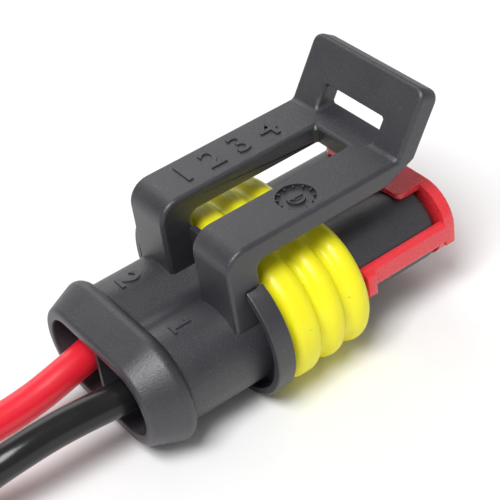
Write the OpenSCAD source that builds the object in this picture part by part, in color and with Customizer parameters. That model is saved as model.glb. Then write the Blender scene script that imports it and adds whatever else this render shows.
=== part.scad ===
// Two-way sealed wire-to-wire connector half, with its two crimped leads.
// Millimetres. +X is the mating direction, +Z is up, and Y runs across the two ways.

/* [Ways] */
// distance between the two terminal axes
pitch = 6.0; // [4:0.1:10]
// outside diameter of each lead
wire_od = 2.2; // [1.4:0.05:2.8]
// diameter of the stranded copper core
core_d = 1.3; // [0.6:0.02:1.6]
// height of the leads above the resting plane
wire_z = 4.1; // [3.8:0.05:5]
// height of the contact boxes above the resting plane
contact_z = 5.1; // [4.8:0.05:5.6]

/* [Lengths, from the back of the latch legs] */
// how far the collar reaches back
rear_reach = 7.3; // [6:0.1:10]
// how far the barrels reach forward
barrel_reach = 16.1; // [14:0.1:20]
// thickness of the front wall of the lock
lock_wall = 1.05; // [0.8:0.05:2]

/* [Collar and rear barrels] */
// largest outer radius of the collar round each way
collar_r = 3.95; // [3.8:0.05:4.5]
// length of the collar
collar_len = 3.05; // [2.5:0.05:5]
// radius of the collar's front shoulder
shoulder_r = 0.75; // [0.4:0.05:1]
// how much the collar narrows toward its rear rim
collar_taper = 0.75; // [0.3:0.05:1]
// radius of the collar's rear rim
rim_r = 0.42; // [0.2:0.02:0.6]
// radius of the collar's mouth round each way
mouth_r = 2.36; // [2.1:0.02:2.6]
// depth of the mouth, up to the wire seals
mouth_depth = 1.5; // [0.8:0.05:2]
// thickness of the web that parts the mouth
web_t = 0.3; // [0.2:0.05:0.6]
// how far the web lies in from the rim
web_depth = 0.25; // [0.1:0.05:0.6]
// radius of the rear barrels
barrel_r = 3.2; // [3:0.05:3.6]
// height of the rear barrel axes
barrel_z = 4.1; // [4:0.05:4.6]
// radius of the fillet in the valley between the rear barrels
valley_r = 1.5; // [0.8:0.1:2.5]
// radius of the bore that holds a wire seal
seal_bore_r = 2.4; // [2.2:0.05:2.6]
// radius of the bore behind the contact
mid_bore_r = 2.2; // [1.8:0.05:2.3]

/* [Skirt behind the seal] */
// outer radius of the skirt round each way
skirt_r = 4.9; // [4.6:0.05:5.4]
// height of the skirt's centre
skirt_z = 4.95; // [4.9:0.05:5.4]
// wall thickness of the skirt
skirt_wall = 0.5; // [0.4:0.05:1]
// how far the skirt starts in front of the back of the legs
skirt_start = 1.05; // [0.5:0.05:1.5]
// length of the skirt
skirt_len = 1.3; // [0.8:0.05:2]

/* [Interface seal] */
// length of the interface seal
seal_len = 6.6; // [5:0.1:8]
// radius of the seat under the interface seal
seat_r = 3.2; // [2.9:0.05:3.6]
// radius at the root of the seal's ribs
seal_root_r = 4.12; // [3.6:0.02:4.4]
// radius at the crest of the rear rib, which rests on the surface
crest_r = 4.7; // [4.4:0.05:5.2]
// how much each rib is lower than the one behind it
crest_step = 0.08; // [0:0.01:0.2]
// distance between the ribs
rib_pitch = 2.0; // [1.5:0.05:2.5]
// rounding radius of a rib
rib_round = 0.8; // [0.5:0.05:1]

/* [Front barrels] */
// radius of the front barrels
nose_r = 2.75; // [2.5:0.05:3.2]
// radius of the fillet in the valley between the front barrels
nose_valley_r = 1.1; // [0.5:0.1:2]
// height of the front barrel axes
nose_z = 5.1; // [5:0.05:5.6]
// width of the chamber round a contact box
chamber_w = 2.5; // [2.3:0.05:3]
// height of the chamber round a contact box
chamber_h = 2.2; // [2.1:0.05:2.6]

/* [Latch] */
// half of the latch's width
latch_half = 5.33; // [5:0.01:5.6]
// half of the width between the latch's legs
gap_half = 1.6; // [1.2:0.1:2]
// height of the latch's top face
latch_top = 12.3; // [11.5:0.1:13]
// thickness of the latch's rails
rail_t = 1.5; // [1:0.1:2]
// thickness of the latch's legs
leg_t = 1.1; // [0.8:0.05:1.4]
// outer radius where a rail turns down into its leg
leg_turn_r = 1.5; // [1:0.1:2.5]
// inner radius where a rail turns down into its leg
leg_fillet = 1.9; // [1:0.1:2.5]
// how far the gap between the rails reaches forward
gap_reach = 12.43; // [11:0.01:13]
// distance from the back of the legs to the bend of the thumb plate
plate_start = 13.38; // [12:0.01:14]
// slope of the thumb plate
plate_slope = 58; // [45:1:75]
// length of the thumb plate up its slope
plate_len = 4.78; // [3:0.01:6]
// thickness of the thumb plate
plate_t = 1.5; // [1:0.1:2]
// height of the window through the thumb plate
window_h = 1.6; // [1:0.1:2.5]
// half of the width of the window
window_half = 2.8; // [2:0.1:3.5]
// height at which the legs start to flex
flex_z = 8.2; // [7.5:0.1:9]
// angle that the latch lifts through
latch_lift = 10; // [5:1:15]
// distance from the back of the legs to the dial in the near rail
dial_x = 6.8; // [5:0.1:9]
// radius of the dial
dial_r = 1.3; // [0.8:0.1:1.5]
// depth of the dial
dial_depth = 0.25; // [0.1:0.05:0.5]

/* [Secondary lock] */
// half of the width of the lock
lock_half = 6.15; // [6:0.05:6.5]
// height of the top of the lock
lock_top = 8.22; // [8.1:0.02:9]
// radius of the lock's upper corners
lock_corner = 2.65; // [2:0.05:3]
// height of the lower edge of the side arms and of the wall's shoulders
lock_low = 4.4; // [4:0.02:5.2]
// height of the upper edge of the side arms
arm_high = 6.15; // [5.6:0.05:6.5]
// where the side arms' hooks start
hook_start = 9.4; // [9:0.1:11]
// length of the hooks
hook_len = 0.9; // [0.5:0.1:1.5]
// half of the width over the hooks
hook_half = 6.6; // [6.3:0.05:7]
// half of the width of the top tongue
tongue_half = 3.6; // [2:0.1:4]
// length of the top tongue
tongue_len = 1.7; // [1:0.1:3]
// diameter of the holes for the mating pins
pin_hole_d = 1.9; // [1.6:0.05:2.2]
// how far the lock slides forward to release the terminals
lock_travel = 1.8; // [1:0.1:2.5]

/* [Terminals and wire seals] */
// thickness of the terminal sheet
sheet = 0.3; // [0.2:0.05:0.4]
// width of a contact box
box_w = 2.2; // [2:0.05:2.4]
// height of a contact box
box_h = 2.0; // [1.8:0.05:2.1]
// how far a contact box stops short of the barrel's end
box_inset = 0.7; // [0.4:0.05:1]
// width of the terminal's strip between the box and the crimps
strip_w = 1.4; // [1:0.1:1.6]
// length of the crimp round the copper core
core_crimp = 3.0; // [2:0.1:4]
// length of the crimp round the wire seal's neck
seal_crimp = 2.0; // [1.5:0.1:2.5]
// radius of a wire seal's neck
neck_r = 1.7; // [1.4:0.05:1.9]
// length of the ribbed end of a wire seal
plug_len = 4.2; // [3:0.1:5]
// radius of a wire seal between its ribs
plug_r = 2.1; // [1.8:0.05:2.2]

/* [Hidden] */
$fn = 96;
nothing = 0.01;
run_gap = 0.05; // between the lock and the housing
seat_gap = 0.25; // between a terminal's box and the end of the round bore
way = pitch / 2;
lock_back = barrel_reach + run_gap;
lock_front = lock_back + lock_wall;
x0 = (rear_reach - lock_front) / 2; // puts the middle of the length at x = 0
collar_front = collar_len - rear_reach;
seal_start = skirt_start + skirt_len;
seal_end = seal_start + seal_len;
first_rib = seal_start + 1.35;
plug_start = mouth_depth - rear_reach;
neck_start = plug_start + plug_len;
neck_len = seal_crimp + 0.8;
neck_end = neck_start + neck_len;
core_start = neck_end - 0.6; // where the insulation is stripped to
core_end = core_start + 5.5;
box_start = seal_end + seat_gap;

// The lead's route: the stretch that both share lies one on the other, tied.
lead_1 = [[-5, -3, 4.1], [-8.5, -3, 4.1], [-12.5, -2.7, 4.3], [-16.5, -2.5, 4.5], [-20, -2.3, 4.2],
  [-23.5, -1.3, 2.8], [-27, 0.2, 1.5], [-30.5, 1, 1.2]];
lead_2 = [[-5, 3, 4.1], [-8.5, 3, 4.1], [-12.5, 2.2, 3.9], [-16, 2, 3.3], [-19.5, 2, 3.1],
  [-23.5, 1.9, 3.4], [-27, 1.4, 3.6], [-30.5, 1, 3.5]];
hank = [[-34.5, 1.15, 1.4], [-38.5, 1.15, 1.5], [-42.5, 1.15, 1.5], [-46.5, 1.25, 1.4], [-50, 2, 1.2],
  [-53.5, 3.9, 1.2], [-57, 6, 1.2], [-61, 6.7, 1.2], [-65.6, 4.8, 1.2], [-67.6, 0, 1.2],
  [-65.6, -4.8, 1.2], [-61, -6.7, 1.2], [-57, -6, 1.2], [-53.5, -3.9, 1.2], [-50, -2, 1.2],
  [-46.5, -1.25, 1.4], [-42.5, -1.15, 1.5], [-38.5, -1.15, 1.5], [-34.5, -1.15, 1.4], [-30.5, -1.15, 1.2]];
lay_over = 2.25; // the red lead lies this far above the black one in the hank
tie_x = -40.5;
tie_w = 2.4;
tie_t = 0.45;

function over(points, rise) = [for (p = points) [p[0], p[1], p[2] + rise]];
function cross_unit(a, b) = let (c = cross(a, b)) c / norm(c);
function heading(points, i) = let (
    a = points[max(i - 1, 0)], b = points[min(i + 1, len(points) - 1)]
  ) (b - a) / norm(b - a);

// An eight-sided tube along a route, as one polyhedron.
module tube(points, radius) {
  sides = 8;
  rings = [for (i = [0 : len(points) - 1])
    let (t = heading(points, i), side = cross_unit([0, 0, 1], t), up = cross(t, side))
      for (k = [0 : sides - 1])
        let (angle = (k + 0.5) * 360 / sides)
          points[i] + radius * (cos(angle) * side + sin(angle) * up)];
  last = sides * (len(points) - 1);
  faces = concat(
    [[for (k = [0 : sides - 1]) k]],
    [[for (k = [sides - 1 : -1 : 0]) last + k]],
    [for (i = [0 : len(points) - 2]) for (k = [0 : sides - 1])
      let (a = i * sides + k, b = i * sides + (k + 1) % sides) [a, a + sides, b + sides, b]]);
  polyhedron(rings, faces, convexity = 6);
}

// Outlines across the part, drawn with Y to the right and Z up.
module racetrack(r, z) {
  translate([0, z]) {
    for (s = [-1, 1]) translate([s * way, 0]) circle(r);
    square([pitch, 2 * r], center = true);
  }
}

module twin_barrels(r, z, fillet) {
  reach = r + fillet;
  rise = sqrt(reach * reach - way * way);
  tx = way - way * r / reach;
  tz = rise * r / reach;
  translate([0, z]) {
    for (s = [-1, 1]) translate([s * way, 0]) circle(r);
    difference() {
      for (s = [0, 1]) mirror([0, s]) polygon([[-way, -nothing], [way, -nothing], [tx, tz], [-tx, tz]]);
      for (s = [-1, 1]) translate([0, s * rise]) circle(fillet);
    }
  }
}

// A solid along X between two stations, from an outline across the part.
module along(from, to) {
  translate([from, 0, 0]) rotate([90, 0, 90]) linear_extrude(to - from) children();
}

// A solid across Y from an outline with X to the right and Z up.
module across(from, to) {
  translate([0, to, 0]) rotate([90, 0, 0]) linear_extrude(to - from) children();
}

// A band round both ways: its profile has the radius to the right and the station up.
module round_both(z) {
  translate([0, 0, z]) {
    for (s = [-1, 1]) translate([0, s * way, 0]) rotate([0, 90, 0]) rotate_extrude() children();
    for (s = [0, 1]) mirror([0, 0, s]) rotate(240, [1, 1, 1]) linear_extrude(pitch, center = true) children();
  }
}

// The collar's profile: a rounded front shoulder, then a taper to a rounded rear rim.
module collar_profile() {
  shoulder = [collar_r - shoulder_r, collar_front - shoulder_r];
  rim = [collar_r - collar_taper - rim_r, rim_r - rear_reach];
  slope = atan2(rim[0] + rim_r - shoulder[0] - shoulder_r, shoulder[1] - rim[1]);
  out = [cos(slope), sin(slope)];
  translate(shoulder) circle(shoulder_r);
  translate(rim) circle(rim_r);
  polygon([[0, -rear_reach], [rim[0], -rear_reach], rim, rim + rim_r * out, shoulder + shoulder_r * out,
    shoulder, [shoulder[0] + 0.15, collar_front], [0, collar_front]]);
}

module at_ways() {
  for (s = [-1, 1]) translate([0, s * way, 0]) children();
}

module bore(from, to, r, z) {
  translate([from, 0, z]) rotate([0, 90, 0]) cylinder(h = to - from, r = r);
}

// The skirt stops on each side of the latch's legs.
module skirt_cut() {
  side = latch_half + 0.12;
  translate([-side, skirt_z]) square([2 * side, 2 * skirt_r]);
}

module housing() {
  color("dimgray") difference() {
    union() {
      round_both(barrel_z) collar_profile();
      along(collar_front - 1, skirt_start + nothing) twin_barrels(barrel_r, barrel_z, valley_r);
      along(seal_start - skirt_wall, seal_start) racetrack(skirt_r, skirt_z);
      difference() {
        along(skirt_start, seal_start - skirt_wall) racetrack(skirt_r, skirt_z);
        along(skirt_start - nothing, seal_start - skirt_wall) {
          racetrack(skirt_r - skirt_wall, skirt_z);
          skirt_cut();
        }
      }
      along(skirt_start, seal_end) racetrack(seat_r, crest_r);
      along(seal_end, barrel_reach) twin_barrels(nose_r, nose_z, nose_valley_r);
      for (s = [-1, 1]) scale([1, s, 1])
        translate([0, gap_half, barrel_z + 1.5]) cube([leg_t, latch_half - gap_half, flex_z - barrel_z - 1.5]);
    }
    difference() {
      along(-rear_reach - nothing, plug_start) racetrack(mouth_r, barrel_z);
      translate([web_depth - rear_reach, -web_t / 2, 0]) cube([mouth_depth, web_t, 2 * barrel_z]);
    }
    at_ways() {
      bore(plug_start - nothing, seal_start, seal_bore_r, wire_z);
      bore(seal_start - nothing, seal_end, mid_bore_r, wire_z);
      translate([seal_end - nothing, -chamber_w / 2, contact_z - box_h / 2])
        cube([barrel_reach - seal_end + 1, chamber_w, chamber_h]);
    }
  }
}

// The legs, rails, crossbar and thumb plate as one bar bent along its length.
module latch_bar() {
  c = cos(plate_slope);
  s = sin(plate_slope);
  lip = 0.7;
  tip = [plate_start + (plate_len - lip) * c, latch_top + (plate_len - lip) * s];
  inner = [leg_t + leg_fillet, latch_top - rail_t - leg_fillet];
  w = latch_half;
  difference() {
    union() {
      across(-w, w) translate([0, flex_z]) square([leg_t, latch_top - leg_turn_r - flex_z]);
      across(-w, w) translate([leg_turn_r, latch_top - leg_turn_r]) circle(leg_turn_r);
      across(-w, w) translate([leg_turn_r, latch_top - rail_t]) square([plate_start - leg_turn_r, rail_t]);
      across(-w, w) translate([0, inner[1]]) square([inner[0], leg_fillet + rail_t - leg_turn_r]);
      across(-w, w) polygon([[plate_start - 1, latch_top - rail_t], [plate_start - 1, latch_top],
        [plate_start, latch_top], tip, tip + plate_t * [s, -c],
        [plate_start, latch_top] + plate_t * [s, -c] + 0.3 * [c, s]]);
      for (t = [lip, plate_t - lip]) across(-w, w) translate(tip + t * [s, -c]) circle(lip);
    }
    across(-w - 1, w + 1) translate(inner) circle(leg_fillet);
    across(-w - 1, w + 1) translate([inner[0] - nothing, inner[1] - nothing]) square([1, leg_fillet]);
  }
}

module latch() {
  plate_front = plate_start + 6;
  color("slategray") difference() {
    latch_bar();
    translate([-1, -gap_half, 0]) cube([gap_reach + 1, 2 * gap_half, latch_top + 1]);
    translate([plate_start - 0.5, -window_half, latch_top]) cube([plate_front, 2 * window_half, window_h]);
    translate([dial_x, -(gap_half + latch_half) / 2, latch_top - dial_depth]) cylinder(h = 1, r = dial_r);
  }
}

module interface_seal() {
  color("yellow") difference() {
    round_both(crest_r) {
      translate([seat_r - 0.2, seal_start]) square([seal_root_r - seat_r + 0.2, seal_len]);
      for (i = [0 : 2])
        translate([crest_r - i * crest_step - rib_round, first_rib + i * rib_pitch]) circle(rib_round);
    }
    along(seal_start - 1, seal_end + 1) racetrack(seat_r, crest_r);
  }
}

// The lock's outline: flat sides and top, large upper corners.
module lock_outline(half, low, high) {
  side = half - lock_corner;
  intersection() {
    union() {
      for (s = [-1, 1]) translate([s * side, lock_top - lock_corner]) circle(lock_corner);
      translate([-side, lock_low - 2]) square([2 * side, lock_top - lock_low + 2]);
      translate([-half, lock_low - 2]) square([2 * half, lock_top - lock_corner - lock_low + 2]);
    }
    translate([-half, low]) square([2 * half, high - low]);
  }
}

module secondary_lock() {
  clear = nose_r + run_gap;
  inner = way + 1.5;
  color("crimson") difference() {
    union() {
      along(lock_back, lock_front) lock_outline(lock_half, lock_low, lock_top);
      along(lock_back, lock_front) racetrack(nose_r, nose_z);
      difference() {
        along(hook_start, lock_back + nothing) lock_outline(lock_half, lock_low, arm_high);
        translate([hook_start - 1, -inner, 0]) cube([lock_back - hook_start + 1, 2 * inner, lock_top]);
      }
      for (s = [-1, 1]) scale([1, s, 1]) translate([hook_start, inner, lock_low - 0.9])
        cube([hook_len, hook_half - inner, arm_high - lock_low + 0.3]);
      translate([lock_back - tongue_len, -tongue_half, nose_z + 1.5])
        cube([tongue_len, 2 * tongue_half, lock_top - nose_z - 1.5]);
    }
    along(hook_start - 1, lock_back) twin_barrels(clear, nose_z, nose_valley_r);
    at_ways() bore(lock_back - 1, lock_front + 1, pin_hole_d / 2, contact_z);
  }
}

module terminal(s) {
  base = wire_z - core_d / 2 - sheet;
  box_low = contact_z - box_h / 2;
  box_len = barrel_reach - box_inset - box_start;
  crimp_start = core_end - core_crimp;
  seal_end_x = neck_start + seal_crimp;
  low = wire_z - neck_r - sheet;
  color("silver") translate([0, s * way, 0]) {
    difference() {
      translate([box_start, -box_w / 2, box_low]) cube([box_len, box_w, box_h]);
      translate([box_start + sheet, -box_w / 2 + sheet, box_low + sheet])
        cube([box_len, box_w - 2 * sheet, box_h - 2 * sheet]);
    }
    translate([box_start + 1.2, -0.5, box_low + sheet - nothing]) rotate([0, -6, 0]) cube([3.6, 1, 0.2]);
    across(-strip_w / 2, strip_w / 2) polygon([[core_end - 0.2, base], [seal_end - 0.9, base],
      [seal_end - 0.1, box_low], [box_start + sheet, box_low], [box_start + sheet, box_low + sheet],
      [seal_end - 0.3, box_low + sheet], [seal_end - 1.1, base + sheet], [core_end - 0.2, base + sheet]]);
    difference() {
      union() {
        bore(crimp_start, core_end, core_d / 2 + sheet, wire_z);
        across(-strip_w / 2, strip_w / 2) polygon([[seal_end_x - 0.4, low], [seal_end_x, low],
          [crimp_start + 0.1, base], [crimp_start + 0.1, base + sheet], [seal_end_x - 0.4, low + 2 * sheet]]);
        bore(neck_start + 0.2, seal_end_x, neck_r + sheet, wire_z);
      }
      bore(crimp_start - 1, core_end - 0.2, core_d / 2, wire_z);
      bore(neck_start, seal_end_x + 0.4, neck_r, wire_z);
    }
  }
}

module terminal_1() { terminal(-1); }
module terminal_2() { terminal(1); }

module wire_seal(s) {
  rib_gap = plug_len / 3;
  rib_t = plug_len / 6;
  color("gray") translate([0, s * way, 0]) difference() {
    union() {
      bore(plug_start, neck_start, plug_r, wire_z);
      for (i = [0 : 2]) bore(plug_start + (i + 0.5) * rib_gap - rib_t / 2,
        plug_start + (i + 0.5) * rib_gap + rib_t / 2, seal_bore_r, wire_z);
      bore(neck_start - nothing, neck_end, neck_r, wire_z);
    }
    bore(plug_start - 1, neck_end + 1, wire_od / 2, wire_z);
  }
}

module wire_seal_1() { wire_seal(-1); }
module wire_seal_2() { wire_seal(1); }

module conductor(s) {
  color("orange") translate([0, s * way, 0]) bore(core_start, core_end - 0.2, core_d / 2, wire_z);
}

module conductor_1() { conductor(-1); }
module conductor_2() { conductor(1); }

module wire_1() {
  color("black") tube(concat(lead_1, hank), wire_od / 2);
}

module wire_2() {
  color("red") tube(concat(lead_2, over(hank, lay_over)), wire_od / 2);
}

module tie() {
  half_w = 1.15 + wire_od / 2 - 0.05;
  low = tie_t;
  high = 1.5 + lay_over + wire_od / 2 - 0.05;
  color("white") translate([tie_x - tie_w / 2, 0, 0]) {
    rotate([90, 0, 90]) linear_extrude(tie_w) difference() {
      translate([-half_w - tie_t, 0]) square([2 * (half_w + tie_t), high + tie_t]);
      translate([-half_w, low]) square([2 * half_w, high - low]);
    }
    translate([-0.6, -half_w - tie_t - 1.6, high - 2.4]) cube([tie_w + 1.2, 1.6, 3]);
  }
}

translate([x0, 0, 0]) housing();
translate([x0, 0, 0]) latch();
translate([x0, 0, 0]) interface_seal();
translate([x0, 0, 0]) secondary_lock();
translate([x0, 0, 0]) terminal_1();
translate([x0, 0, 0]) terminal_2();
translate([x0, 0, 0]) wire_seal_1();
translate([x0, 0, 0]) wire_seal_2();
translate([x0, 0, 0]) conductor_1();
translate([x0, 0, 0]) conductor_2();
wire_1();
wire_2();
tie();
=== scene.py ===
import math

import bmesh
import bpy
from mathutils import Matrix, Vector


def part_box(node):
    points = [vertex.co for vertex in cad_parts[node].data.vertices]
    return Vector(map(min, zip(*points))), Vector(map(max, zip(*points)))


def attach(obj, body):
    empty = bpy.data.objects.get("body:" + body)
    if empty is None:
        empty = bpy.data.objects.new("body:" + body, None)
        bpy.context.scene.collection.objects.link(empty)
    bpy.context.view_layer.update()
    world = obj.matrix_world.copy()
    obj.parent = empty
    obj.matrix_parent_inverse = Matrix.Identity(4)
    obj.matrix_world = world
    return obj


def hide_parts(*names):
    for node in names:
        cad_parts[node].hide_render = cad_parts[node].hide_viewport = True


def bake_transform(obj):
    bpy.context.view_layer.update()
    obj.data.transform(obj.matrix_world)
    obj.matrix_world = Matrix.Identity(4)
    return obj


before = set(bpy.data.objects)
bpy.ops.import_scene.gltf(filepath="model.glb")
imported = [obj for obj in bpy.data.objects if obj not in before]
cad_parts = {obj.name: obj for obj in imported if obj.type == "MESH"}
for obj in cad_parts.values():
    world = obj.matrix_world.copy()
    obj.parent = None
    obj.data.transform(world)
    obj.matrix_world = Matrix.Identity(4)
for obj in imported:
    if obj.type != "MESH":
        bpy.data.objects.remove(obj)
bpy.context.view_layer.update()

# --- Camera -----------------------------------------------------------------------------
# It looks down on the lead end from the left, a little rolled, from about 10 cm away.
MM = 0.001
AZIMUTH, ELEVATION, ROLL = (math.radians(a) for a in (-31.26, 38.77, -8.97))
EYE = Vector((-37.97, -62.79, 66.06)) * MM
LENS, SENSOR, CLIP = 105.7, 36, 0.001


def in_scene(name, data):
    """Puts data in the scene as an object at the origin."""
    made = bpy.data.objects.new(name, data)
    bpy.context.scene.collection.objects.link(made)
    return made


back = Vector((math.sin(AZIMUTH) * math.cos(ELEVATION), -math.cos(AZIMUTH) * math.cos(ELEVATION),
               math.sin(ELEVATION)))
level = Vector((math.cos(AZIMUTH), math.sin(AZIMUTH), 0))
right = math.cos(ROLL) * level + math.sin(ROLL) * back.cross(level)
camera = in_scene("camera", bpy.data.cameras.new("camera"))
camera.matrix_world = (Matrix.Translation(EYE)
                       @ Matrix((right, back.cross(right), back)).transposed().to_4x4())
camera.data.lens, camera.data.sensor_width, camera.data.clip_start = LENS, SENSOR, CLIP
bpy.context.scene.camera = camera

# --- Leads ------------------------------------------------------------------------------
# Two automotive wires, black in way 1 and red in way 2: stranded copper in glossy PVC. They
# leave the collar side by side, come together, and are folded once under a tie, red on black.
WAY = 3.0  # each way's axis is this far to its side of the middle
WIRE_D, LAY_OVER = 2.2, 2.25
LEAD_1 = [(-5, -3, 4.1), (-8.5, -3, 4.1), (-12.5, -2.7, 4.3), (-16.5, -2.5, 4.5), (-20, -2.3, 4.2),
          (-23.5, -1.3, 2.8), (-27, 0.2, 1.5), (-30.5, 1, 1.2)]
LEAD_2 = [(-5, 3, 4.1), (-8.5, 3, 4.1), (-12.5, 2.2, 3.9), (-16, 2, 3.3), (-19.5, 2, 3.1),
          (-23.5, 1.9, 3.4), (-27, 1.4, 3.6), (-30.5, 1, 3.5)]
HANK = [(-34.5, 1.15, 1.4), (-38.5, 1.15, 1.5), (-42.5, 1.15, 1.5), (-46.5, 1.25, 1.4), (-50, 2, 1.2),
        (-53.5, 3.9, 1.2), (-57, 6, 1.2), (-61, 6.7, 1.2), (-65.6, 4.8, 1.2), (-67.6, 0, 1.2),
        (-65.6, -4.8, 1.2), (-61, -6.7, 1.2), (-57, -6, 1.2), (-53.5, -3.9, 1.2), (-50, -2, 1.2),
        (-46.5, -1.25, 1.4), (-42.5, -1.15, 1.5), (-38.5, -1.15, 1.5), (-34.5, -1.15, 1.4),
        (-30.5, -1.15, 1.2)]
HANK_OVER = [(x, y, z + LAY_OVER) for x, y, z in HANK]
COLOR_A, COLOR_B, COLOR_OUT = 6, 7, 2  # a Mix node's colour sockets, whose names others share


class Field:
    """A shader socket that Python's operators add Math nodes to."""

    def __init__(self, tree, socket):
        self.tree, self.socket = tree, socket

    def math(self, operation, *values):
        return node(self.tree, "ShaderNodeMath", {"operation": operation}, values)

    def __add__(self, other):
        return self.math("ADD", self, other)

    def __sub__(self, other):
        return self.math("SUBTRACT", self, other)

    def __rsub__(self, other):
        return self.math("SUBTRACT", other, self)

    def __mul__(self, other):
        return self.math("MULTIPLY", self, other)

    __radd__, __rmul__ = __add__, __mul__

    def clamp(self):
        return node(self.tree, "ShaderNodeClamp", {}, [self])

    def mix(self, first, second):
        """A colour between two, where this field goes from 0 to 1."""
        values = {"Factor": self, COLOR_A: first, COLOR_B: second}
        return node(self.tree, "ShaderNodeMix", {"data_type": "RGBA"}, values, out=COLOR_OUT)


def node(tree, kind, settings, values, out=0):
    """Adds a node: its settings first, then the values or links of its sockets, by place or name."""
    new = tree.nodes.new(kind)
    for key, value in settings.items():
        setattr(new, key, value)
    for key, value in values.items() if isinstance(values, dict) else enumerate(values):
        if isinstance(value, Field):
            tree.links.new(value.socket, new.inputs[key])
        else:
            new.inputs[key].default_value = value
    return Field(tree, new.outputs[out])


CLOUD_SCALE, CLOUD_GAIN, CLOUD_FLOOR, FLECK_EDGE = 350, 1.6, 0.4, 14


def finish(name, color, shade, rough, spread=0.08, grain=9000, bump=0.15, height=2e-5,
           stretch=(1, 1, 1), fleck=None, **sockets):
    """A material: its colour drifts toward the shade, and fine grain varies the gloss and the relief.
    A fleck is (colour, scale, how rare from 0.5 to 1, strength) of small spots."""
    made = bpy.data.materials.new(name)
    made.use_nodes = True
    tree = made.node_tree
    surface = tree.nodes["Principled BSDF"]
    place = node(tree, "ShaderNodeTexCoord", {}, {}, out="Object")
    place = node(tree, "ShaderNodeMapping", {}, {"Vector": place, "Scale": stretch})

    def noise(scale, detail):
        values = {"Vector": place, "Scale": scale, "Detail": detail}
        return node(tree, "ShaderNodeTexNoise", {}, values, out="Fac")

    cloud, speck = noise(CLOUD_SCALE, 4), noise(grain, 2)
    tint = (cloud * CLOUD_GAIN - CLOUD_FLOOR).clamp().mix((*color, 1), (*shade, 1))
    if fleck:
        spot_color, scale, rare, strength = fleck
        spots = ((noise(scale, 1) - rare) * FLECK_EDGE).clamp() * strength
        tint = spots.mix(tint, (*spot_color, 1))
    tree.links.new(tint.socket, surface.inputs["Base Color"])
    tree.links.new((speck * spread + cloud * spread + (rough - spread)).socket, surface.inputs["Roughness"])
    relief = node(tree, "ShaderNodeBump", {}, {"Strength": bump, "Distance": height, "Height": speck})
    tree.links.new(relief.socket, surface.inputs["Normal"])
    for socket, value in sockets.items():
        surface.inputs[socket.replace("_", " ")].default_value = value
    return made


def smooth_route(points, steps=8):
    """Points along a smooth curve through the given ones, in metres."""
    points = [Vector(p) * MM for p in points]
    ends = [2 * points[0] - points[1], *points, 2 * points[-1] - points[-2]]
    route = []
    for a, b, c, d in zip(ends, ends[1:], ends[2:], ends[3:]):
        for k in range(steps):
            t = k / steps
            route.append(0.5 * (2 * b + (c - a) * t + (2 * a - 5 * b + 4 * c - d) * t**2
                                + (3 * b - a - 3 * c + d) * t**3))
    return [*route, points[-1]]


def lead(name, route, material):
    """A wire along a route: a round curve with closed ends."""
    curve = bpy.data.curves.new(name, "CURVE")
    curve.dimensions = "3D"
    curve.bevel_depth = WIRE_D / 2 * MM
    curve.bevel_resolution = 8
    curve.use_fill_caps = True
    curve.materials.append(material)
    spline = curve.splines.new("POLY")
    spline.points.add(len(route) - 1)
    for p, q in zip(spline.points, route):
        p.co = (*q, 1)
    spline.use_smooth = True
    return in_scene(name, curve)


pvc_black = finish("black_pvc", (0.007, 0.007, 0.008), (0.013, 0.013, 0.014), 0.24, grain=2500,
                   bump=0.25, Specular_IOR_Level=0.42)
pvc_red = finish("red_pvc", (0.86, 0.02, 0.04), (0.76, 0.012, 0.03), 0.32, grain=2500,
                 bump=0.25, Specular_IOR_Level=0.5)
laid = []
for side, name, points, material, wire, slot in (
        (-1, "black_lead", LEAD_1 + HANK, pvc_black, "wire_1", "wire_black"),
        (1, "red_lead", LEAD_2 + HANK_OVER, pvc_red, "wire_2", "wire_red")):
    route = smooth_route(points)
    length = sum((q - p).length for p, q in zip(route, route[1:]))
    piece = lead(name, route, material)
    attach(piece, "housing")
    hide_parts(wire)
    laid.append((piece, side, length, route[-1], (route[-1] - route[-2]).normalized()))

# --- Bared ends of the leads --------------------------------------------------------------
# A few millimetres of seven copper strands, six round one, stand out of the insulation at
# each lead's far end.
STRAND_D, STRAND_TIP_D, STRANDS_ROUND = 0.34, 0.34 / 1.2, 6
STRAND_LEN, MIDDLE_STRAND_LEN, STRAND_MIDDLE_AT = 2.6, 3, 0.6
COPPER, COPPER_SHADE = (0.72, 0.33, 0.16), (0.6, 0.25, 0.11)
copper = finish("copper_strand", COPPER, COPPER_SHADE, 0.3, grain=4000, Metallic=1.0)


def mesh_data(mesh, name="shape"):
    """Turns a bmesh into mesh data, and frees it."""
    data = bpy.data.meshes.new(name)
    mesh.to_mesh(data)
    mesh.free()
    return data


def new_piece(name, mesh, material, body, slot, *nodes, sharp=35):
    """Makes a finished mesh an object that rides on a body, with its finish and the nodes it stands for.
    Edges that turn more than the sharp angle stay crisp."""
    data = mesh_data(mesh, name)
    data.materials.append(material)
    data.shade_smooth()
    data.set_sharp_from_angle(angle=math.radians(sharp))
    piece = in_scene(name, data)
    if body:
        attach(piece, body)
    if nodes:
        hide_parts(*nodes)
    return piece


leads = []
for piece, side, length, tip, heading in laid:
    strands = bmesh.new()
    turn = heading.to_track_quat("Z", "Y").to_matrix().to_4x4()
    centre = Matrix.Translation(tip + heading * STRAND_MIDDLE_AT * MM) @ turn
    ring = [(STRAND_D * math.cos(a), STRAND_D * math.sin(a), STRAND_LEN)
            for a in (k * math.tau / STRANDS_ROUND for k in range(STRANDS_ROUND))]
    for x, y, long in [*ring, (0, 0, MIDDLE_STRAND_LEN)]:
        bmesh.ops.create_cone(strands, cap_ends=True, segments=10, radius1=STRAND_D / 2 * MM,
                              radius2=STRAND_TIP_D / 2 * MM, depth=long * MM,
                              matrix=centre @ Matrix.Translation((x * MM, y * MM, 0)))
    bared = new_piece(piece.name + "_strands", strands, copper, "housing", "copper")
    leads.append((piece, side, length, bared))

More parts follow.
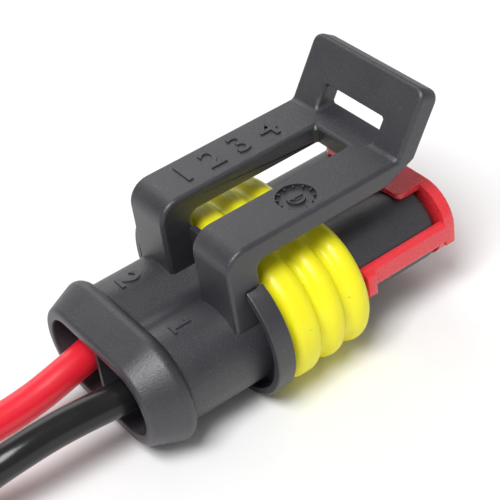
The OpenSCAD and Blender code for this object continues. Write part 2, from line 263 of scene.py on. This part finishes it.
# --- Housing ------------------------------------------------------------------------------
# One glass-filled nylon moulding with a fine spark-eroded grain: a flared collar with the mouth
# for the leads, two round barrels, the skirt and the seat of the seal, and the front barrels.
REAR = 7.3  # the collar reaches this far behind the latch's legs, where the stations along X start
LEGS_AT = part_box("housing")[0][0] / MM + REAR
TINY = 0.01  # what lies closer than this to a face counts as on it
# the rear barrels, and the collar that flares back from its shoulder to a round rim
BARREL_R, BARREL_Z, VALLEY_R = 3.2, 4.1, 1.5
COLLAR_R, COLLAR_FRONT, COLLAR_IN, SHOULDER_R = 3.95, -4.25, 2.9, 0.75
RIM_R, RIM_AT, RIM_IN = 0.42, 2.78, 2.0
# the mouth with its round lip, and the web between the two leads
MOUTH_R, MOUTH_END, MOUTH_LIP = 2.36, -5.8, 0.14
WEB_HALF, WEB_BACK, WEB_ROUND, WEB_INTO = 0.15, 0.25, 0.05, 0.1
# the skirt: a cup that is open at its back, with its upper half cut off as far as the gate
SKIRT_R, SKIRT_Z, SKIRT_BACK, SKIRT_WALL = 4.9, 4.95, 1.05, 0.5
SKIRT_HOLLOW, SKIRT_EDGE, SKIRT_LIP = 0.7, 0.1, 0.04
GATE_DEEP, GATE_HALF, GATE_TOP = 0.8, 5.45, 12
# the seal's seat and the front barrels; barrels, seat and skirt run into each other out of sight
SEAL_BACK, SEAL_FRONT, SEAL_Z, SEAT_R, SEAT_EDGE = 2.35, 8.95, 4.7, 3.2, 0.1
NOSE_R, NOSE_Z, NOSE_VALLEY_R, NOSE_END, NOSE_ROUND = 2.75, 5.1, 1.1, 15.95, 0.35
BARREL_END, SEAT_START, NOSE_START = SKIRT_BACK + 0.95, SKIRT_BACK + 0.83, SEAL_FRONT - 0.5
# each way's bore for its wire seal, then for its crimps, then for its contact box
SEAL_BORE_R, CRIMP_BORE_R, BORE_LAP = 2.34, 2.2, 0.3
BOX_HALF, BOX_LOW, BOX_HIGH, BOX_LAP = 1.25, 1.0, 1.2, 0.2
# the latch's half width, the half width of its gap, and the skirt's notches, which its legs stand in
LATCH_HALF, GAP_HALF = 5.33, 1.6
NOTCH_BACK, NOTCH_LOW, NOTCH_TOP, LEG_FIT = 0.5, 7.95, 11, 0.04


def arc(centre, radius, start, end, steps=6):
    """Points on an arc, each (radius from the ways, station), between two angles in degrees."""
    turns = [math.radians(start + (end - start) * k / steps) for k in range(steps + 1)]
    return [(centre[0] + radius * math.cos(t), centre[1] + radius * math.sin(t)) for t in turns]


def of_type(parts, kind):
    """The vertices, or the edges, among the parts of a mesh."""
    return [part for part in parts if isinstance(part, kind)]


def wrap(mesh, profile, z, valley=None, steps=28):
    """Spins a profile of (radius, station) round both ways: with straight runs, or a filleted valley."""
    line = [mesh.verts.new((x * MM, WAY * MM, (z - r) * MM)) for r, x in profile]
    line += [mesh.edges.new(pair) for pair in zip(line, line[1:])]
    reach = (valley or 0) + max(r for r, _ in profile)
    lean = math.asin(WAY / reach) if valley else 0
    rise = math.sqrt(reach**2 - WAY**2) if valley else 0
    bmesh.ops.rotate(mesh, verts=of_type(line, bmesh.types.BMVert), cent=(0, WAY * MM, z * MM),
                     matrix=Matrix.Rotation(-lean, 3, "X"))
    for side in (1, -1):
        line = bmesh.ops.spin(mesh, geom=line, cent=(0, side * WAY * MM, z * MM), axis=(1, 0, 0),
                              angle=math.pi + 2 * lean, steps=steps)["geom_last"]
        if valley:
            line = bmesh.ops.spin(mesh, geom=line, cent=(0, 0, (z + side * rise) * MM), axis=(1, 0, 0),
                                  angle=-2 * lean, steps=6)["geom_last"]
        else:
            pushed = bmesh.ops.extrude_edge_only(mesh, edges=of_type(line, bmesh.types.BMEdge))["geom"]
            line = [part for part in pushed if not isinstance(part, bmesh.types.BMFace)]
            bmesh.ops.translate(mesh, verts=of_type(line, bmesh.types.BMVert),
                                vec=(0, -2 * side * WAY * MM, 0))
    bmesh.ops.remove_doubles(mesh, verts=mesh.verts, dist=1e-6)
    bmesh.ops.dissolve_degenerate(mesh, edges=mesh.edges, dist=1e-7)
    bmesh.ops.recalc_face_normals(mesh, faces=mesh.faces)


def wrapped(profile, z, valley=None):
    """A closed solid: the profile wrapped round both ways, with its two ends filled."""
    mesh = bmesh.new()
    wrap(mesh, profile, z, valley)
    bmesh.ops.holes_fill(mesh, edges=[e for e in mesh.edges if e.is_boundary])
    bmesh.ops.recalc_face_normals(mesh, faces=mesh.faces)
    return mesh


def prism(outline, start, end, across=False):
    """A solid along X from an outline of (y, z), or across Y from an outline of (x, z), in millimetres."""
    mesh = bmesh.new()
    verts = [mesh.verts.new(((a, start, b) if across else (start, a, b))) for a, b in outline]
    pushed = bmesh.ops.extrude_face_region(mesh, geom=[mesh.faces.new(verts)], use_keep_orig=True)["geom"]
    vec = (0, end - start, 0) if across else (end - start, 0, 0)
    bmesh.ops.translate(mesh, verts=of_type(pushed, bmesh.types.BMVert), vec=vec)
    bmesh.ops.scale(mesh, verts=mesh.verts, vec=(MM, MM, MM))
    bmesh.ops.recalc_face_normals(mesh, faces=mesh.faces)
    return mesh


def block(x0, x1, y0, y1, z0, z1):
    """A square block between two stations, two sides and two heights."""
    return prism([(y0, z0), (y1, z0), (y1, z1), (y0, z1)], x0, x1)


def bore(start, end, radius, y, z, segments=48):
    """A round bar along X, to cut a bore with."""
    mesh = bmesh.new()
    place = Matrix.Translation(Vector(((start + end) / 2, y, z)) * MM) @ Matrix.Rotation(math.pi / 2, 4, "Y")
    bmesh.ops.create_cone(mesh, cap_ends=True, segments=segments, radius1=radius * MM,
                          radius2=radius * MM, depth=(end - start) * MM, matrix=place)
    return mesh


def combine(mesh, others, operation):
    """The mesh joined with the others (UNION), or less them (DIFFERENCE)."""
    for other in others:
        pair = [in_scene("shape", mesh_data(shape)) for shape in (mesh, other)]
        cut = pair[0].modifiers.new("cut", "BOOLEAN")
        cut.operation, cut.solver, cut.object = operation, "EXACT", pair[1]
        seen = pair[0].evaluated_get(bpy.context.evaluated_depsgraph_get())
        mesh = bmesh.new()
        mesh.from_mesh(seen.to_mesh())
        for used in pair:
            data = used.data
            bpy.data.objects.remove(used)
            bpy.data.meshes.remove(data)
    return mesh


def round_edges(mesh, width, where=None, sharp=35, segments=3):
    """Rounds every edge that turns more than the sharp angle, and whose two ends are where asked."""
    bmesh.ops.remove_doubles(mesh, verts=mesh.verts, dist=2e-6)
    bmesh.ops.dissolve_limit(mesh, angle_limit=math.radians(1), verts=mesh.verts, edges=mesh.edges)
    edges = [e for e in mesh.edges if e.is_manifold and e.calc_face_angle(0) > math.radians(sharp)
             and (where is None or all(where(*(v.co / MM)) for v in e.verts))]
    bmesh.ops.bevel(mesh, geom=edges, offset=width * MM, affect="EDGES", segments=segments, profile=0.5,
                    clamp_overlap=False, material=-1)


def along_x(mesh):
    """Moves a mesh from stations to the part's own frame."""
    bmesh.ops.translate(mesh, verts=mesh.verts, vec=(LEGS_AT * MM, 0, 0))
    return mesh


def even_shading(piece):
    """Keeps flat faces flat to the eye beside their rounded edges."""
    piece.modifiers.new("even_shading", "WEIGHTED_NORMAL").keep_sharp = True


collar_slope = math.degrees(math.atan2(RIM_AT + RIM_R - COLLAR_R,
                                       (COLLAR_FRONT - SHOULDER_R) - (RIM_R - REAR)))
collar = wrapped([(RIM_IN, -REAR), (RIM_AT, -REAR)]
                 + arc((RIM_AT, RIM_R - REAR), RIM_R, -80, collar_slope)
                 + arc((COLLAR_R - SHOULDER_R, COLLAR_FRONT - SHOULDER_R), SHOULDER_R, collar_slope, 88, 8)
                 + [(COLLAR_IN, COLLAR_FRONT + 0.02)], BARREL_Z)
barrels = wrapped([(BARREL_R, COLLAR_FRONT - 0.6), (BARREL_R, BARREL_END)], BARREL_Z, VALLEY_R)

skirt = wrapped([(SKIRT_R - SKIRT_EDGE, SKIRT_BACK)]
                + arc((SKIRT_R - SKIRT_EDGE, SKIRT_BACK + SKIRT_EDGE), SKIRT_EDGE, -90, 0, 3)
                + [(SKIRT_R, SEAL_BACK - SKIRT_LIP), (SKIRT_R - SKIRT_LIP, SEAL_BACK)], SKIRT_Z)
hollow_r, hollow_end = SKIRT_R - SKIRT_WALL, SKIRT_BACK + SKIRT_HOLLOW
hollow = wrapped([(hollow_r, SKIRT_BACK - 1), (hollow_r, hollow_end)]
                 + arc((hollow_r - SKIRT_EDGE, hollow_end), SKIRT_EDGE, 0, 90, 3), SKIRT_Z)
gate = block(SKIRT_BACK - 1, SKIRT_BACK + GATE_DEEP, -GATE_HALF, GATE_HALF, SKIRT_Z + 0.02, GATE_TOP)
skirt = combine(skirt, [hollow, gate], "DIFFERENCE")

seat = wrapped([(SEAT_R, SEAT_START), (SEAT_R, SEAL_FRONT - SEAT_EDGE),
                (SEAT_R - SEAT_EDGE, SEAL_FRONT)], SEAL_Z)
nose = wrapped([(NOSE_R, NOSE_START), (NOSE_R, NOSE_END - NOSE_ROUND)]
               + arc((NOSE_R - NOSE_ROUND, NOSE_END - NOSE_ROUND), NOSE_ROUND, 0, 90, 5),
               NOSE_Z, NOSE_VALLEY_R)
shell = combine(collar, [barrels, skirt, seat, nose], "UNION")

lip_r = MOUTH_R + MOUTH_LIP
cuts = [wrapped([(lip_r, -REAR - 0.5), (lip_r, -REAR - 0.02)]
                + arc((lip_r, MOUTH_LIP - REAR), MOUTH_LIP, -90, -180, 4) + [(MOUTH_R, MOUTH_END)], BARREL_Z)]
for y in (-WAY, WAY):
    cuts += [bore(MOUTH_END - BORE_LAP, SEAL_BACK, SEAL_BORE_R, y, BARREL_Z),
             bore(SEAL_BACK - BORE_LAP, SEAL_FRONT + 0.1, CRIMP_BORE_R, y, BARREL_Z),
             block(SEAL_FRONT - BOX_LAP, NOSE_END + 1, y - BOX_HALF, y + BOX_HALF,
                   NOSE_Z - BOX_LOW, NOSE_Z + BOX_HIGH)]
for side in (-1, 1):
    near, far = sorted((side * (GAP_HALF - LEG_FIT), side * (LATCH_HALF + LEG_FIT)))
    cuts.append(block(SKIRT_BACK + NOTCH_BACK, SEAL_BACK + 0.1, near, far, NOTCH_LOW, NOTCH_TOP))
shell = combine(shell, cuts, "DIFFERENCE")

web_reach = MOUTH_R + WEB_INTO
web = block(WEB_BACK - REAR, MOUTH_END + WEB_INTO, -WEB_HALF, WEB_HALF,
            BARREL_Z - web_reach, BARREL_Z + web_reach)
round_edges(web, WEB_ROUND)
shell = combine(shell, [web], "UNION")
nylon = finish("black_nylon", (0.022, 0.022, 0.0285), (0.036, 0.036, 0.042), 0.42, spread=0.12,
               grain=12000, bump=0.6, height=4e-5, fleck=((0.11, 0.11, 0.12), 9000, 0.66, 0.5),
               Specular_IOR_Level=0.78)
even_shading(new_piece("shell", along_x(shell), nylon, "housing", "housing", "housing", sharp=32))

# --- Latch --------------------------------------------------------------------------------
# Moulded in one with the housing: two legs rise off the barrels and turn into rails that a
# crossbar joins, and the thumb plate slopes up from it with a window through its foot.
LATCH_TOP, RAIL_T, TURN_R, GAP_REACH, LATCH_ROUND = 12.3, 1.5, 1.5, 12.43, 0.3
LEG_T, LEG_FILLET, LEG_FOOT = 2.3, 0.6, 6.2
PLATE_BACK, PLATE_SLOPE, PLATE_LEN, PLATE_T, PLATE_CORNER = 13.38, math.radians(58), 4.78, 1.5, 0.7
PLATE_HEEL, CROSSBAR_FRONT = 0.3, 1  # how far up the plate and along the crossbar the heel's slope runs
WINDOW_H, WINDOW_HALF, WINDOW_BACK, WINDOW_FRONT = 1.6, 2.8, 0.5, 6
DIAL_X, DIAL_Y, DIAL_R, DIAL_DEEP = 6.8, -(GAP_HALF + LATCH_HALF) / 2, 1.3, 0.25

up_plate = Vector((math.cos(PLATE_SLOPE), math.sin(PLATE_SLOPE)))
off_plate = Vector((math.sin(PLATE_SLOPE), -math.cos(PLATE_SLOPE))) * PLATE_T
bend = Vector((PLATE_BACK, LATCH_TOP))
under = (LEG_T + LEG_FILLET, LATCH_TOP - RAIL_T - LEG_FILLET)
side_view = ([(0, LEG_FOOT)] + arc((TURN_R, LATCH_TOP - TURN_R), TURN_R, 180, 90, 8)
             + [tuple(p) for p in (bend, bend + up_plate * PLATE_LEN, bend + up_plate * PLATE_LEN + off_plate,
                                   bend + off_plate + up_plate * PLATE_HEEL)]
             + [(PLATE_BACK - CROSSBAR_FRONT, LATCH_TOP - RAIL_T)]
             + arc(under, LEG_FILLET, 90, 180, 8) + [(LEG_T, LEG_FOOT)])
latch = prism(side_view, -LATCH_HALF, LATCH_HALF, across=True)
gap = block(-1, GAP_REACH, -GAP_HALF, GAP_HALF, 0, LATCH_TOP + 1)
window = block(PLATE_BACK - WINDOW_BACK, PLATE_BACK + WINDOW_FRONT, -WINDOW_HALF, WINDOW_HALF,
               LATCH_TOP, LATCH_TOP + WINDOW_H)
latch = combine(latch, [gap, window], "DIFFERENCE")


def plate_corner(edge):
    """Whether an edge runs through the plate's thickness at one of its two top corners."""
    ends = [v.co / MM for v in edge.verts]
    return (all(abs(p.y) > LATCH_HALF - TINY and p.z > LATCH_TOP + PLATE_LEN * 0.6 for p in ends)
            and abs(ends[0].x - ends[1].x) > 1.2)


bmesh.ops.bevel(latch, geom=[e for e in latch.edges if plate_corner(e)], offset=PLATE_CORNER * MM,
                affect="EDGES", segments=5, profile=0.5, material=-1)
round_edges(latch, LATCH_ROUND)
recess = bmesh.new()
bmesh.ops.create_cone(recess, cap_ends=True, segments=64, radius1=DIAL_R * MM, radius2=DIAL_R * MM,
                      depth=2 * DIAL_DEEP * MM,
                      matrix=Matrix.Translation(Vector((DIAL_X, DIAL_Y, LATCH_TOP)) * MM))
latch = combine(latch, [recess], "DIFFERENCE")
latch_frame = new_piece("latch_frame", along_x(latch), nylon, None, "housing", "latch", sharp=32)
even_shading(latch_frame)
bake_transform(latch_frame)

# --- Way numbers ----------------------------------------------------------------------------
# Plain raised numerals, moulded in: each way's number on its barrel, read from the leads' side,
# and the row of plain figures along the far rail.
NUMERAL_DEEP = 0.13
NUMBER_AT, NUMBER_SIZE, NUMBER_SINK = -2.4, 2.2, 0.06
STEM, FOOT, FLAG = (-3.1, -1.7, -0.11, 0.11), (-3.1, -2.9, -0.42, 0.42), (-2.0, -1.82, 0, 0.36)
FIGURES_AT, FIGURES_SIZE, FIGURES_SINK = 6.6, 2.7, 0.03


def add(mesh, other):
    """Adds the other mesh to the first as a shell of its own."""
    data = mesh_data(other)
    mesh.from_mesh(data)
    bpy.data.meshes.remove(data)


def numeral(mesh, text, size, centre, right, up):
    """Adds figures to a mesh, as raised strokes round a centre, in stations."""
    words = bpy.data.curves.new("figures", "FONT")
    words.body, words.size, words.extrude = text, size, NUMERAL_DEEP
    words.align_x, words.align_y = "CENTER", "CENTER"
    words.space_character, words.offset = 1.05, 0.03
    holder = in_scene("figures", words)
    seen = holder.evaluated_get(bpy.context.evaluated_depsgraph_get())
    figures = bmesh.new()
    figures.from_mesh(seen.to_mesh())
    turn = Matrix((right, up, Vector(right).cross(Vector(up)))).transposed().to_4x4()
    bmesh.ops.transform(figures, verts=figures.verts,
                        matrix=Matrix.Scale(MM, 4) @ Matrix.Translation(centre) @ turn)
    add(mesh, figures)
    bpy.data.objects.remove(holder)


number_z = BARREL_Z + BARREL_R - NUMBER_SINK
numbers = bmesh.new()
numeral(numbers, "2", NUMBER_SIZE, (NUMBER_AT, WAY, number_z), (0, -1, 0), (1, 0, 0))
stem, *strokes = (block(x0, x1, y0 - WAY, y1 - WAY, number_z - NUMERAL_DEEP, number_z + NUMERAL_DEEP)
                  for x0, x1, y0, y1 in (STEM, FOOT, FLAG))
add(numbers, combine(stem, strokes, "UNION"))
new_piece("way_numbers", along_x(numbers), nylon, "housing", "housing")
figures = bmesh.new()
numeral(figures, "1 2 3 4", FIGURES_SIZE, (FIGURES_AT, (GAP_HALF + LATCH_HALF) / 2, LATCH_TOP - FIGURES_SINK),
        (1, 0, 0), (0, 1, 0))
new_piece("rail_figures", along_x(figures), nylon, "latch", "housing")

# --- Dial ------------------------------------------------------------------------------------
# A turned insert in the mould leaves a small dial in the near rail: a round recess, twelve
# raised strokes like a clock's hours, and a hub in two steps with a pointer.
STROKES, STROKE_IN, STROKE_OUT, STROKE_HALF, STROKE_TOP = 12, 0.82, 0.98, 0.05, -0.06
ROOTED = 0.05  # what stands in the recess goes this far into its floor
HUB, HUB_DRAFT = ((0.62, -0.1), (0.34, -0.05)), 0.04  # each step: its radius and its top
POINTER = [(-0.09, -0.5), (0.09, -0.5), (0.09, 0.2), (0.2, 0.2), (0, 0.52), (-0.2, 0.2), (-0.09, 0.2)]
POINTER_LOW, POINTER_HIGH = -0.04, 0.02

dial = bmesh.new()
floor_z = -DIAL_DEEP - ROOTED
for k in range(STROKES):
    stroke = block(STROKE_IN * DIAL_R, STROKE_OUT * DIAL_R, -STROKE_HALF, STROKE_HALF, floor_z, STROKE_TOP)
    bmesh.ops.rotate(stroke, verts=stroke.verts, cent=(0, 0, 0),
                     matrix=Matrix.Rotation(k * math.tau / STROKES, 3, "Z"))
    add(dial, stroke)
for radius, top in HUB:
    bmesh.ops.create_cone(dial, cap_ends=True, segments=32, radius1=radius * MM,
                          radius2=(radius - HUB_DRAFT) * MM, depth=(top - floor_z) * MM,
                          matrix=Matrix.Translation((0, 0, (top + floor_z) / 2 * MM)))
pointer = prism(POINTER, POINTER_LOW, POINTER_HIGH)
bmesh.ops.rotate(pointer, verts=pointer.verts, cent=(0, 0, 0), matrix=Matrix.Rotation(-math.pi / 2, 3, "Y"))
add(dial, pointer)
bmesh.ops.translate(dial, verts=dial.verts, vec=Vector((DIAL_X, DIAL_Y, LATCH_TOP)) * MM)
bmesh.ops.recalc_face_normals(dial, faces=dial.faces)
new_piece("mould_dial", along_x(dial), nylon, "latch", "housing")

# --- Interface seal -----------------------------------------------------------------------
# A soft yellow silicone ring with three round ribs, stretched over its seat up to the skirt.
RIBS, RIB_R, RIB_STEP, RIB_PITCH, RIB_ROUND, RIB_FIRST, RIB_FLAT = 3, 4.7, 0.08, 2.0, 0.85, 1.75, 0.55
ROOT_R, SEAL_IN_R, SEAL_STEPS, SEAL_BLUR = 4.1, SEAT_R + 0.01, 66, 0.05


def seal_radius(x):
    """The seal's radius at a distance from its back: the higher of its root and its nearest rib.
    The first rib is flat for a while toward the back."""
    rib = min(RIBS - 1, max(0, round((x - RIB_FIRST) / RIB_PITCH)))
    away = abs(x - RIB_FIRST - rib * RIB_PITCH)
    if x < RIB_FIRST:
        away = max(0, away - RIB_FLAT)
    away = min(RIB_ROUND, away)
    return max(ROOT_R, RIB_R - rib * RIB_STEP - RIB_ROUND + math.sqrt(RIB_ROUND**2 - away**2))


ribbed = []
for k in range(1, SEAL_STEPS):
    x = (SEAL_FRONT - SEAL_BACK) * k / SEAL_STEPS
    near = [seal_radius(x + d * SEAL_BLUR) for d in (-2, -1, 0, 1, 2)]
    ribbed.append((sum(near) / len(near), SEAL_BACK + x))
seal = bmesh.new()
back_in = (SEAL_IN_R, SEAL_BACK + 0.01)
wrap(seal, [back_in, (ROOT_R - 0.12, SEAL_BACK + 0.01), *ribbed, (ROOT_R - 0.05, SEAL_FRONT - 0.05),
            (ROOT_R - 0.15, SEAL_FRONT), (SEAL_IN_R, SEAL_FRONT), back_in], SEAL_Z)
silicone = finish("yellow_silicone", (0.93, 0.87, 0.014), (0.86, 0.79, 0.01), 0.36, grain=3500, bump=0.12,
                  fleck=((0.2, 0.17, 0.02), 1500, 0.76, 0.7),
                  Subsurface_Weight=0.25, Subsurface_Scale=0.0006, Specular_IOR_Level=0.45)
new_piece("seal_ring", along_x(seal), silicone, "housing", "seal", "interface_seal", sharp=50)

# --- Secondary lock -----------------------------------------------------------------------
# A red glossy moulding, clipped over the front barrels: its wall keeps the terminals in, two
# arms reach back along the sides to their hooks, and a tongue lies in the top valley.
LOCK_BACK, LOCK_WALL, LOCK_ROUND, LOCK_FIT, INTO_WALL = 16.3, 0.9, 0.22, 0.05, 0.5
LOCK_HALF, LOCK_TOP, LOCK_LOW, LOCK_CORNER = 6.15, 8.22, 4.4, 2.65
HOOK_BACK, HOOK_LEN, BAR_IN = 9.4, 0.75, 4.5
TONGUE_BACK, TONGUE_HALF, TONGUE_DEEP, TONGUE_CORNER, TONGUE_ROUND = 14.45, 3.75, 1.5, 0.45, 0.1
PIN_R = 0.95
LOCK_FRONT = LOCK_BACK + LOCK_WALL
# each bar: its two ends, how far out it reaches, its bottom and top, and how round its edges are
ARM = (HOOK_BACK, LOCK_BACK + INTO_WALL, LOCK_HALF, 4.5, 6.15, 0.3)
HOOK = (HOOK_BACK - 0.02, HOOK_BACK + HOOK_LEN, 6.55, 4.3, 6.0, 0.16)

corner = (LOCK_HALF - LOCK_CORNER, LOCK_TOP - LOCK_CORNER)
drop = NOSE_Z - LOCK_LOW
half = (arc((WAY, NOSE_Z), NOSE_R, -90, -math.degrees(math.asin(drop / NOSE_R)), 10)[:-1]
        + [(math.sqrt(NOSE_R**2 - drop**2) + WAY, LOCK_LOW), (LOCK_HALF, LOCK_LOW), (LOCK_HALF, corner[1])]
        + arc(corner, LOCK_CORNER, 0, 90, 12)[1:])
wall = prism(half + [(-y, z) for y, z in reversed(half)], LOCK_BACK, LOCK_FRONT)
round_edges(wall, LOCK_ROUND, lambda x, y, z: x > LOCK_FRONT - TINY)
joined = []
for side in (-1, 1):
    for start, end, reach, bottom, top, width in (ARM, HOOK):
        bar = block(start, end, *sorted((side * BAR_IN, side * reach)), bottom, top)
        round_edges(bar, width, lambda x, y, z: abs(y) > reach - TINY)
        joined.append(bar)
tongue = block(TONGUE_BACK, LOCK_BACK + INTO_WALL, -TONGUE_HALF, TONGUE_HALF, NOSE_Z + TONGUE_DEEP, LOCK_TOP)
uprights = [e for e in tongue.edges if all(v.co.x < (TONGUE_BACK + 0.5) * MM for v in e.verts)
            and e.calc_length() < TONGUE_HALF * MM]
bmesh.ops.bevel(tongue, geom=uprights, offset=TONGUE_CORNER * MM, affect="EDGES", segments=4, profile=0.5,
                material=-1)
round_edges(tongue, TONGUE_ROUND, lambda x, y, z: x < TONGUE_BACK + 0.55, segments=2)
lock = combine(wall, [*joined, tongue], "UNION")
over_barrels = NOSE_R + LOCK_FIT
clear = wrapped([(over_barrels, HOOK_BACK - 1), (over_barrels, LOCK_BACK)], NOSE_Z, NOSE_VALLEY_R)
pin_holes = [bore(LOCK_BACK - 1, LOCK_BACK + 2, PIN_R, y, NOSE_Z, 32) for y in (-WAY, WAY)]
lock = combine(lock, [clear, *pin_holes], "DIFFERENCE")
red_nylon = finish("red_nylon", (0.82, 0.045, 0.06), (0.72, 0.03, 0.045), 0.28, grain=5000, bump=0.12,
                   Subsurface_Weight=0.35, Subsurface_Scale=0.0007, Coat_Weight=0.2)
even_shading(new_piece("lock_frame", along_x(lock), red_nylon, "lock", "lock", "secondary_lock", sharp=32))

# --- Wire seals, terminals and cores -------------------------------------------------------
# Turned and stamped parts inside the barrels, seen only down the mouth and the pin holes: dark
# silicone seals, tin-plated sockets and the bare ends of the cores. They keep their own shapes.
seal_rubber = finish("dark_silicone", (0.02, 0.02, 0.022), (0.03, 0.03, 0.032), 0.45, grain=4000)
tin = finish("tinned_sheet", (0.72, 0.7, 0.66), (0.6, 0.58, 0.54), 0.3, grain=6000, bump=0.1, Metallic=1.0)
core = finish("core_copper", COPPER, COPPER_SHADE, 0.35, grain=4000, bump=0.4, stretch=(0.1, 1, 1),
              Metallic=1.0)
for name, material in (("wire_seal", seal_rubber), ("terminal", tin), ("conductor", core)):
    for way in ("_1", "_2"):
        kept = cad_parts[name + way].data
        kept.materials.clear()
        kept.materials.append(material)

# --- Tie -------------------------------------------------------------------------------------
# A small black nylon cable tie round the four runs of the hank: a toothed strap that goes
# through the slot of its square head, with its end cut off below.
TIE_AT, TIE_HALF, TIE_HIGH = -40.5, 2.65, 5.25
STRAP_HALF, STRAP_T, STRAP_CORNER, STRAP_CORNER_IN, STRAP_ROUND = 1.2, 0.45, 1.35, 0.95, 0.08
HEAD_HALF, HEAD_OUT, HEAD_IN, HEAD_LOW, HEAD_HIGH, HEAD_ROUND = 1.8, 1.6, 0.15, 2.4, 5.4, 0.3
SLOT_HALF, SLOT_OUT, SLOT_IN = 1.25, 1.1, 0.45
TAIL_OUT, TAIL_IN, TAIL_LOW, TAIL_HIGH = 1.0, 0.55, 1.8, 5.55
TEETH, TOOTH_HALF, TOOTH_OUT, TOOTH_IN, TOOTH_PITCH = 12, 0.85, 1.06, 0.9, 0.3


def rounded(half, bottom, top, radius):
    """An outline of (y, z) with four round corners."""
    return [p for y, z, start in ((half - radius, bottom + radius, -90), (half - radius, top - radius, 0),
                                  (radius - half, top - radius, 90), (radius - half, bottom + radius, 180))
            for p in arc((y, z), radius, start, start + 90, 8)]


def at_tie(half, out, inward, bottom, top):
    """A block on the tie's right side, between two distances outward from the strap's outer face."""
    return block(TIE_AT - half, TIE_AT + half, -TIE_HALF - out, -TIE_HALF - inward, bottom, top)


tie = prism(rounded(TIE_HALF, 0, TIE_HIGH, STRAP_CORNER), TIE_AT - STRAP_HALF, TIE_AT + STRAP_HALF)
inside = prism(rounded(TIE_HALF - STRAP_T, STRAP_T, TIE_HIGH - STRAP_T, STRAP_CORNER_IN),
               TIE_AT - 2 * STRAP_HALF, TIE_AT + 2 * STRAP_HALF)
tie = combine(tie, [inside], "DIFFERENCE")
round_edges(tie, STRAP_ROUND, segments=2)
head = at_tie(HEAD_HALF, HEAD_OUT, -HEAD_IN, HEAD_LOW, HEAD_HIGH)
round_edges(head, HEAD_ROUND)
add(tie, combine(head, [at_tie(SLOT_HALF, SLOT_OUT, SLOT_IN, HEAD_LOW - 0.4, HEAD_HIGH + 0.6)], "DIFFERENCE"))
tail = at_tie(STRAP_HALF, TAIL_OUT, TAIL_IN, TAIL_LOW, TAIL_HIGH)
for k in range(TEETH):
    low = TAIL_LOW + 0.1 + TOOTH_PITCH * k
    add(tail, at_tie(TOOTH_HALF, TOOTH_OUT, TOOTH_IN, low, low + TOOTH_PITCH / 2))
add(tie, tail)
tie_nylon = finish("tie_nylon", (0.012, 0.012, 0.013), (0.02, 0.02, 0.022), 0.36, grain=4000)
cable_tie = new_piece("cable_tie", tie, tie_nylon, "housing", "tie", "tie", sharp=32)
even_shading(cable_tie)
for piece, side, length, bared in leads:
    side * WAY * MM
    [bared, cable_tie] if side < 0 else [bared]

# --- Floor and light ------------------------------------------------------------------------
# A plain pale sheet, lit softly from above and the left, with a weaker light from behind.
# each lamp: its place in metres, its size and its power
LAMPS = {"key": ((-0.17, -0.1, 0.4), 0.2, 1.85), "fill": ((0.1, 0.4, 0.25), 0.3, 0.5)}
SKY = 0.36

sheet = bmesh.new()
bmesh.ops.create_grid(sheet, x_segments=1, y_segments=1, size=1)
floor = in_scene("floor", mesh_data(sheet, "floor"))
pale = finish("pale_floor", (0.9, 0.9, 0.9), (0.88, 0.88, 0.88), 0.8, grain=500, bump=0.02)
floor.data.materials.append(pale)
for name, (place, size, power) in LAMPS.items():
    light = bpy.data.lights.new(name, "AREA")
    light.size, light.energy = size, power
    lamp = in_scene(name, light)
    lamp.location = place
    lamp.rotation_euler = (-Vector(place)).to_track_quat("-Z", "Y").to_euler()
world = bpy.data.worlds.new("world")
bpy.context.scene.world = world
world.use_nodes = True
sky = world.node_tree.nodes["Background"]
sky.inputs["Color"].default_value = (1, 1, 1, 1)
sky.inputs["Strength"].default_value = SKY
bpy.context.scene.view_settings.view_transform = "Standard"

bpy.context.view_layer.update()
